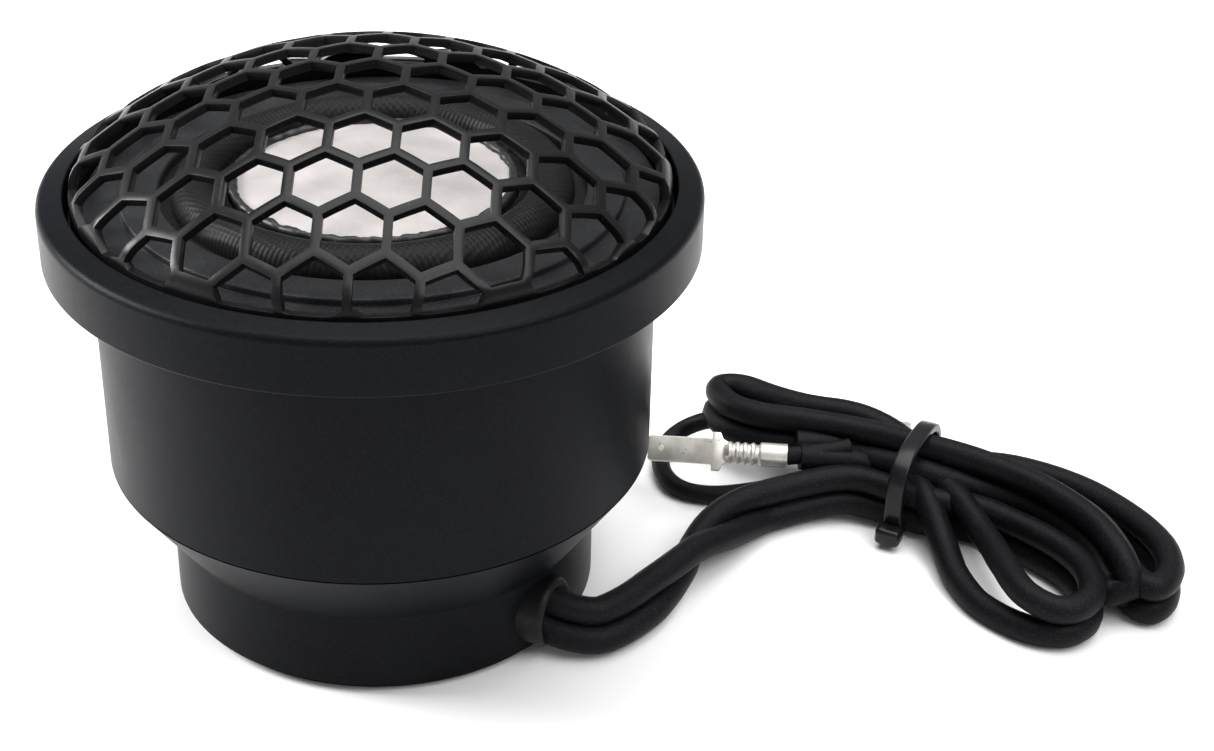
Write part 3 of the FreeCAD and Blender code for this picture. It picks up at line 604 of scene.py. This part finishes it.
# ------------------------------------------------------------------ trim ring
# Cast aluminium ring pressed into the barrel: its broad edge is what shows when the
# tweeter is mounted. A low lip stands round its bore, and the ledge inside holds the motor.
ring = turned("trim_ring_rim", [
    (21.9, 34.6, 0.2), (24.9, 34.6, 0.3), (24.9, 38.8, 0), (26.7, 38.8, 0),
    (26.7, 38.6, 0.1), (31.0, 38.6, 0.3),
    (31.0, 44.0, 0.6), (28.45, 44.6, 0.25), (28.45, 39.6, 0), (21.9, 39.6, 0.2)],
    "housing", "trim_ring")
finish_with(ring, powder_coat)

# ------------------------------------------------------------------ cable bushing
# Rubber bushing pulled into the can's hole from outside. Its rounded nose stands out of
# the wall and grips the lead.
OUTLET_WALL = (14.9, -14.95)    # mm, where the outlet's axis meets the can's wall
OUTLET_HEIGHT = 4.6             # mm
OUTLET_HEADING = -30.0          # degrees from +X
bushing_shape = bmesh.new()
nose = [(3.5, -5.0), (3.5, 0.7), (3.45, 1.0), (3.3, 1.3), (3.1, 1.4), (2.7, 1.3), (1.8, 0.8)]
nose_verts = [bushing_shape.verts.new((x * MM, 0, z * MM)) for x, z in nose]
for pair in zip(nose_verts, nose_verts[1:]):
    bushing_shape.edges.new(pair)
bmesh.ops.spin(bushing_shape, geom=list(bushing_shape.verts) + list(bushing_shape.edges),
               axis=(0, 0, 1), cent=(0, 0, 0), dvec=(0, 0, 0), angle=math.tau, steps=64,
               use_merge=True)
bmesh.ops.remove_doubles(bushing_shape, verts=bushing_shape.verts, dist=1e-7)
bmesh.ops.recalc_face_normals(bushing_shape, faces=bushing_shape.faces)
out = Vector((math.cos(math.radians(OUTLET_HEADING)), math.sin(math.radians(OUTLET_HEADING)), 0))
bushing_turn = (Matrix.Translation((OUTLET_WALL[0] * MM, OUTLET_WALL[1] * MM,
                                    OUTLET_HEIGHT * MM))
                @ out.to_track_quat("Z", "Y").to_matrix().to_4x4())
bmesh.ops.transform(bushing_shape, matrix=bushing_turn, verts=bushing_shape.verts)
bushing = piece("lead_bushing", bushing_shape)
even_shading(bushing)
finish_with(bushing, foam_rubber)
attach(bushing, "housing")
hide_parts("cable_grommet")

# ------------------------------------------------------------------ face plate
# Moulded ring with a raised inner step. It is pressed over the surround's edge and has a
# coarse spark-eroded texture. A plain rubber gasket lies round it, under the grille's rim.
face = turned("face_step", [
    (19.9, 43.1, 0), (23.6, 43.1, 0), (23.6, 42.2, 0), (26.9, 42.2, 0), (26.9, 43.3, 0.2),
    (23.6, 43.3, 0.08), (23.6, 44.0, 0.25), (19.9, 44.0, 0.3)],
    "housing", "face_plate")
moulded = coated("face_texture", (0.012, 0.0125, 0.014), (0.018, 0.019, 0.021),
                 (0.04, 0.04, 0.043), 0.5, 0.2, 0.9, rarity=0.7, sheen=0.2)
finish_with(face, moulded)

gasket = turned("grille_gasket_ring", [
    (27.0, 39.6, 0.1), (28.35, 39.6, 0.1), (28.35, 42.0, 0.2), (27.0, 42.0, 0.2)],
    "housing", "grille_gasket")
finish_with(gasket, foam_rubber)

# ------------------------------------------------------------------ surround
# Half roll of coated black cloth, pressed in one piece. Its inner lip is glued to the
# dome's collar and its flat outer edge is clamped under the face plate.
def arc_points(start, middle, end, steps):
    """(radius, height, 0) points on the circle through three (radius, height) points."""
    (ax, ay), (bx, by), (cx, cy) = start, middle, end
    doubled = 2 * (ax * (by - cy) + bx * (cy - ay) + cx * (ay - by))
    a, b, c = ax * ax + ay * ay, bx * bx + by * by, cx * cx + cy * cy
    ux = (a * (by - cy) + b * (cy - ay) + c * (ay - by)) / doubled
    uy = (a * (cx - bx) + b * (ax - cx) + c * (bx - ax)) / doubled
    first = math.atan2(ay - uy, ax - ux)
    sweep = math.atan2(cy - uy, cx - ux) - first
    radius = math.hypot(ax - ux, ay - uy)
    return [(ux + radius * math.cos(first + sweep * step / steps),
             uy + radius * math.sin(first + sweep * step / steps), 0)
            for step in range(steps + 1)]


CLOTH = 0.4                 # mm, thickness
LIP = 43.2                  # mm, underside of the inner lip
CLAMP = 42.7                # mm, underside of the clamped edge
ROLL_RISE = 2.3             # mm, top of the roll above the lip's underside
ROLL_MIDDLE = 16.6          # mm, radius of the roll's crest
roll_top = arc_points((14.0 + CLOTH, LIP + CLOTH), (ROLL_MIDDLE, LIP + ROLL_RISE),
                      (19.2 - CLOTH, CLAMP + CLOTH), 20)
roll_under = arc_points((19.2 - 2 * CLOTH, CLAMP), (ROLL_MIDDLE, LIP + ROLL_RISE - CLOTH),
                        (14.0 + 2 * CLOTH, LIP), 20)
surround = turned("surround_roll",
                  [(13.65, LIP, 0), (13.65, LIP + CLOTH, 0)] + roll_top
                  + [(23.5, CLAMP + CLOTH, 0), (23.5, CLAMP, 0)] + roll_under,
                  None, "surround")


def weave_group():
    """Over-and-under threads that run round and across a turned cloth."""
    group, start, end = new_group("weave", {"Thread": 0.28},
                                  {"Height": "NodeSocketFloat", "Gap": "NodeSocketFloat"})
    place = node(group, "ShaderNodeTexCoord")
    wide = node(group, "ShaderNodeMath", operation="DIVIDE")
    wide.inputs[0].default_value = 1000.0 * math.pi
    group.links.new(start.outputs["Thread"], wide.inputs[1])
    spread = node(group, "ShaderNodeVectorMath", operation="SCALE")
    group.links.new(place.outputs["Object"], spread.inputs[0])
    group.links.new(wide.outputs[0], spread.inputs["Scale"])
    parts = node(group, "ShaderNodeSeparateXYZ")
    group.links.new(spread.outputs[0], parts.inputs[0])
    waves = []
    for axis in (0, 1):
        wave = node(group, "ShaderNodeMath", operation="SINE")
        group.links.new(parts.outputs[axis], wave.inputs[0])
        waves.append(wave.outputs[0])
    product = node(group, "ShaderNodeMath", operation="MULTIPLY")
    for number, wave in enumerate(waves):
        group.links.new(wave, product.inputs[number])
    height = to_range(group, product.outputs[0], -1.0, 1.0, 0.0, 1.0)
    size = node(group, "ShaderNodeMath", operation="ABSOLUTE")
    group.links.new(product.outputs[0], size.inputs[0])
    group.links.new(height, end.inputs["Height"])
    group.links.new(to_range(group, size.outputs[0], 0.0, 0.25, 1.0, 0.0), end.inputs["Gap"])
    return group


WEAVE = weave_group()


def woven(name, thread_colour, gap_colour, thread, rough, bump):
    """Cloth of even threads with darker or paler gaps."""
    made = bpy.data.materials.new(name)
    made.use_nodes = True
    tree = made.node_tree
    shader = tree.nodes["Principled BSDF"]
    cloth = node(tree, "ShaderNodeGroup", node_tree=WEAVE)
    cloth.inputs["Thread"].default_value = thread
    tree.links.new(blend_colours(tree, cloth.outputs["Gap"], thread_colour, gap_colour),
                   shader.inputs["Base Color"])
    shader.inputs["Roughness"].default_value = rough
    shader.inputs["Specular IOR Level"].default_value = 0.2
    bumped = node(tree, "ShaderNodeBump", Strength=bump, Distance=0.06 * MM)
    tree.links.new(cloth.outputs["Height"], bumped.inputs["Height"])
    tree.links.new(bumped.outputs["Normal"], shader.inputs["Normal"])
    return made


black_cloth = woven("coated_cloth", (0.006, 0.006, 0.0065), (0.002, 0.002, 0.002),
                    0.34, 0.5, 0.8)
finish_with(surround, black_cloth)
surround.data.set_sharp_from_angle(angle=math.radians(80))
surround.modifiers.remove(surround.modifiers["even"])
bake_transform(surround)

# ------------------------------------------------------------------ dome
# Shallow dome of pale coated silk, pressed and glued on its collar with a bead of black
# adhesive that has set in a ragged edge.
SEAT = 12.3                 # mm, radius where the crown starts
DOME_LOW = 43.9             # mm, underside of the edge
DOME_WALL = 0.25            # mm
CROWN = 1.0                 # mm, rise of the crown
BEAD_REACH = 13.15 * MM     # radius of the bead's centre line
BEAD_HEIGHT = 44.2 * MM
BEAD_SIZE = 0.42 * MM


def dome_line(low, turned_back):
    """One side of the dome's section, from the middle out, or back from the edge."""
    points = arc_points((0.0, low + CROWN), (SEAT / 2, low + CROWN * 0.75), (SEAT, low), 14)
    return list(reversed(points)) if turned_back else points


dome = turned("silk_dome",
              dome_line(DOME_LOW + DOME_WALL, False)
              + [(13.3, DOME_LOW + DOME_WALL, 0), (13.3, DOME_LOW, 0)]
              + dome_line(DOME_LOW, True),
              "diaphragm", "dome", closed=False)
silk = coated("pale_silk", (0.36, 0.34, 0.332), (0.54, 0.51, 0.50), (0.50, 0.47, 0.46),
              0.6, 0.35, 0.35, rarity=0.98, cloud=16.0)
finish_with(dome, silk)


def ragged_bead():
    """Bead of glue laid round the dome's edge, thick and thin in turn."""
    shape = bmesh.new()
    bmesh.ops.create_circle(shape, segments=10, radius=BEAD_SIZE,
                            matrix=Matrix.Translation((BEAD_REACH, 0, BEAD_HEIGHT))
                            @ Matrix.Rotation(math.pi / 2, 4, "X"))
    bmesh.ops.spin(shape, geom=list(shape.verts) + list(shape.edges), axis=(0, 0, 1),
                   cent=(0, 0, 0), dvec=(0, 0, 0), angle=math.tau, steps=240, use_merge=True)
    bmesh.ops.remove_doubles(shape, verts=shape.verts, dist=1e-7)
    bmesh.ops.recalc_face_normals(shape, faces=shape.faces)
    for vert in shape.verts:
        rough = noise.noise(vert.co * 900.0) + 0.6 * noise.noise(vert.co * 2600.0)
        flat = Vector((vert.co.x, vert.co.y, 0)).normalized() * BEAD_REACH
        middle = Vector((flat.x, flat.y, BEAD_HEIGHT))
        vert.co = middle + (vert.co - middle) * (1.0 + 0.55 * rough)
    return shape


bead = piece("dome_glue_bead", ragged_bead())
adhesive = coated("black_adhesive", (0.010, 0.010, 0.011), (0.016, 0.016, 0.017),
                  (0.05, 0.05, 0.05), 0.4, 0.3, 0.5)
finish_with(bead, adhesive)
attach(bead, "diaphragm")

# ------------------------------------------------------------------ grille
# Steel sheet punched with hexagons, pressed to a shallow dome with a rolled-down rim, and
# painted satin black. It drops into the ring's bore on its rubber gasket.
GRILLE_CAP = 45.9           # mm, radius of the dome's outside
GRILLE_BASE = 9.54          # mm, height of that sphere's centre
GRILLE_BEND = 2.6           # mm, radius of the shoulder
GRILLE_WALL = 27.95         # mm, radius of the rim
GRILLE_FOOT = 42.0          # mm, lower edge of the rim
GRILLE_SHEET = 0.8          # mm
GRILLE_ROUND = 0.16         # mm, rounding of the punched edges
HOLE_FOOT = 44.6            # mm, the holes stop where the rim starts
OPEN_REACH = 30.0           # mm on the flat sheet, cells further out aren't punched
BLANK_REACH = 36.0          # mm on the flat sheet, cells further out aren't made
PITCH = 5.975               # mm between neighbouring holes' centres
WEB = 0.8                   # mm of sheet between neighbouring holes
MESH_TURN = math.radians(-6.1)
MESH_SHIFT = (-3.34, -6.23)
bend_radius = GRILLE_WALL - GRILLE_BEND
bend_height = GRILLE_BASE + math.sqrt((GRILLE_CAP - GRILLE_BEND) ** 2 - bend_radius ** 2)
bend_slope = math.atan2(bend_height - GRILLE_BASE, bend_radius)
cap_edge = GRILLE_CAP * math.cos(bend_slope)


def on_grille(x, y):
    """Place in mm on the pressed sheet's outside for a place on the flat sheet."""
    reach = math.hypot(x, y)
    if reach <= cap_edge:
        return Vector((x, y, GRILLE_BASE + math.sqrt(GRILLE_CAP ** 2 - reach ** 2)))
    along = reach - cap_edge
    turn = bend_slope - along / GRILLE_BEND
    drop = 0.0
    if turn < 0.0:
        drop = along - bend_slope * GRILLE_BEND
        turn = 0.0
    radius = bend_radius + GRILLE_BEND * math.cos(turn)
    height = bend_height + GRILLE_BEND * math.sin(turn) - drop
    return Vector((x / reach * radius, y / reach * radius, height))


def mesh_centres(limit):
    """Centres of the hexagons in mm on the flat sheet, out to a limit."""
    for row in range(-8, 9):
        for column in range(-8, 9):
            x = (column + 0.5 * (row % 2)) * PITCH
            y = row * PITCH * math.sqrt(3.0) / 2.0
            across = x * math.cos(MESH_TURN) - y * math.sin(MESH_TURN) + MESH_SHIFT[0]
            up = x * math.sin(MESH_TURN) + y * math.cos(MESH_TURN) + MESH_SHIFT[1]
            if math.hypot(across, up) < limit:
                yield across, up


def punched_sheet():
    """Flat sheet of hexagon cells in mm, with a web round each hole's face."""
    shape = bmesh.new()
    for across, up in mesh_centres(BLANK_REACH):
        bmesh.ops.create_circle(shape, cap_ends=True, segments=6, radius=PITCH / math.sqrt(3.0),
                                matrix=Matrix.Translation((across, up, 0))
                                @ Matrix.Rotation(MESH_TURN, 4, "Z"))
    bmesh.ops.remove_doubles(shape, verts=shape.verts, dist=0.01)
    cells = list(shape.faces)
    for face in cells:
        if face.normal.z < 0:
            face.normal_flip()
    bmesh.ops.inset_individual(shape, faces=cells, thickness=WEB / 2, use_even_offset=True)
    for face in cells:
        open_cell = face.calc_center_median().length < OPEN_REACH
        face.material_index = 1 if open_cell else 0
    bmesh.ops.poke(shape, faces=cells)
    long_edges = [edge for edge in shape.edges if edge.calc_length() > WEB]
    bmesh.ops.subdivide_edges(shape, edges=long_edges, cuts=3, use_grid_fill=True)
    return shape


def press_grille():
    """Sheet pressed to its dome, trimmed at its foot and opened where it is punched."""
    shape = punched_sheet()
    for vert in shape.verts:
        vert.co = on_grille(vert.co.x, vert.co.y)
    for height, lower in ((GRILLE_FOOT, True), (HOLE_FOOT, False)):
        bmesh.ops.bisect_plane(shape, geom=list(shape.verts) + list(shape.edges)
                               + list(shape.faces), plane_co=(0, 0, height),
                               plane_no=(0, 0, 1), clear_inner=lower, dist=0.01)
    holes = [face for face in shape.faces
             if face.material_index == 1 and face.calc_center_median().z > HOLE_FOOT]
    bmesh.ops.delete(shape, geom=holes, context="FACES")
    for face in shape.faces:
        face.material_index = 0
    bmesh.ops.scale(shape, verts=shape.verts, vec=(MM, MM, MM))
    return shape


grille = piece("hex_grille_sheet", press_grille())
wall = grille.modifiers.new("wall", "SOLIDIFY")
wall.thickness = GRILLE_SHEET * MM
wall.offset = -1.0
edge = grille.modifiers.new("edge", "BEVEL")
edge.width = GRILLE_ROUND * MM
edge.segments = 2
edge.limit_method = "ANGLE"
edge.angle_limit = math.radians(42)
satin_black = coated("satin_black_paint", (0.0035, 0.0035, 0.004), (0.006, 0.006, 0.007),
                     (0.02, 0.02, 0.022), 0.32, 0.2, 0.2, rarity=0.97, sheen=0.18)
finish_with(grille, satin_black)
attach(grille, "housing")
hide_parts("hex_grille")

# ------------------------------------------------------------------ motor and wiring
# Inside the housing: a ferrite magnet between a steel plate and a yoke with a copper cap
# and a felt plug, the coil on its foil former, a terminal board, and the chamber's wadding.
def plain(name, colour, rough, metal=0.0):
    """Material of one even colour."""
    made = bpy.data.materials.new(name)
    made.use_nodes = True
    shader = made.node_tree.nodes["Principled BSDF"]
    shader.inputs["Base Color"].default_value = (*colour, 1.0)
    shader.inputs["Roughness"].default_value = rough
    shader.inputs["Metallic"].default_value = metal
    return made


INSIDE = {
    "zinc_steel": ("motor_screws top_plate yoke solder_tags", (0.42, 0.42, 0.40), 0.35, 1.0),
    "ferrite": ("magnet", (0.035, 0.034, 0.036), 0.7, 0.0),
    "copper": ("copper_cap voice_coil", (0.60, 0.26, 0.14), 0.3, 1.0),
    "felt_and_wadding": ("pole_felt chamber_wadding", (0.25, 0.24, 0.22), 0.95, 0.0),
    "board_laminate": ("terminal_board", (0.20, 0.10, 0.04), 0.5, 0.0),
    "foil": ("coil_former", (0.62, 0.60, 0.56), 0.3, 1.0),
    "rubber_and_resin": ("chamber_seal lead_wires surround_frame dome_collar",
                         (0.012, 0.012, 0.013), 0.55, 0.0),
}
for name, (nodes, colour, rough, metal) in INSIDE.items():
    inside_material = plain(name, colour, rough, metal)
    for label in nodes.split():
        finish_with(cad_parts[label], inside_material)

# ------------------------------------------------------------------ table and light
# A white paper table under three broad, soft, round lamps and an even pale room, as for
# a catalogue picture on a white ground.
table_mesh = bpy.data.meshes.new("table")
table_shape = bmesh.new()
bmesh.ops.create_grid(table_shape, x_segments=1, y_segments=1, size=3.0)
table_shape.to_mesh(table_mesh)
table_shape.free()
table = bpy.data.objects.new("table", table_mesh)
bpy.context.scene.collection.objects.link(table)
paper = plain("white_paper", (0.90, 0.90, 0.90), 0.9)
finish_with(table, paper)

LAMPS = {
    "key": ((-0.55, 0.15, 0.35), 0.30, 7.0),
    "fill": ((0.35, -0.30, 0.60), 0.50, 3.0),
    "overhead": ((0.05, 0.15, 0.90), 0.90, 9.0),
}
for name, (place, size, power) in LAMPS.items():
    data = bpy.data.lights.new(name, "AREA")
    data.shape = "DISK"
    data.size = size
    data.energy = power
    lamp = bpy.data.objects.new(name, data)
    lamp.location = place
    aim = Vector((0.02, 0, 0.02)) - Vector(place)
    lamp.rotation_euler = aim.to_track_quat("-Z", "Y").to_euler()
    bpy.context.scene.collection.objects.link(lamp)
world = bpy.data.worlds.new("room")
world.use_nodes = True
world.node_tree.nodes["Background"].inputs["Color"].default_value = (1.0, 1.0, 1.0, 1.0)
world.node_tree.nodes["Background"].inputs["Strength"].default_value = 0.40
bpy.context.scene.world = world
bpy.context.scene.view_settings.view_transform = "Standard"
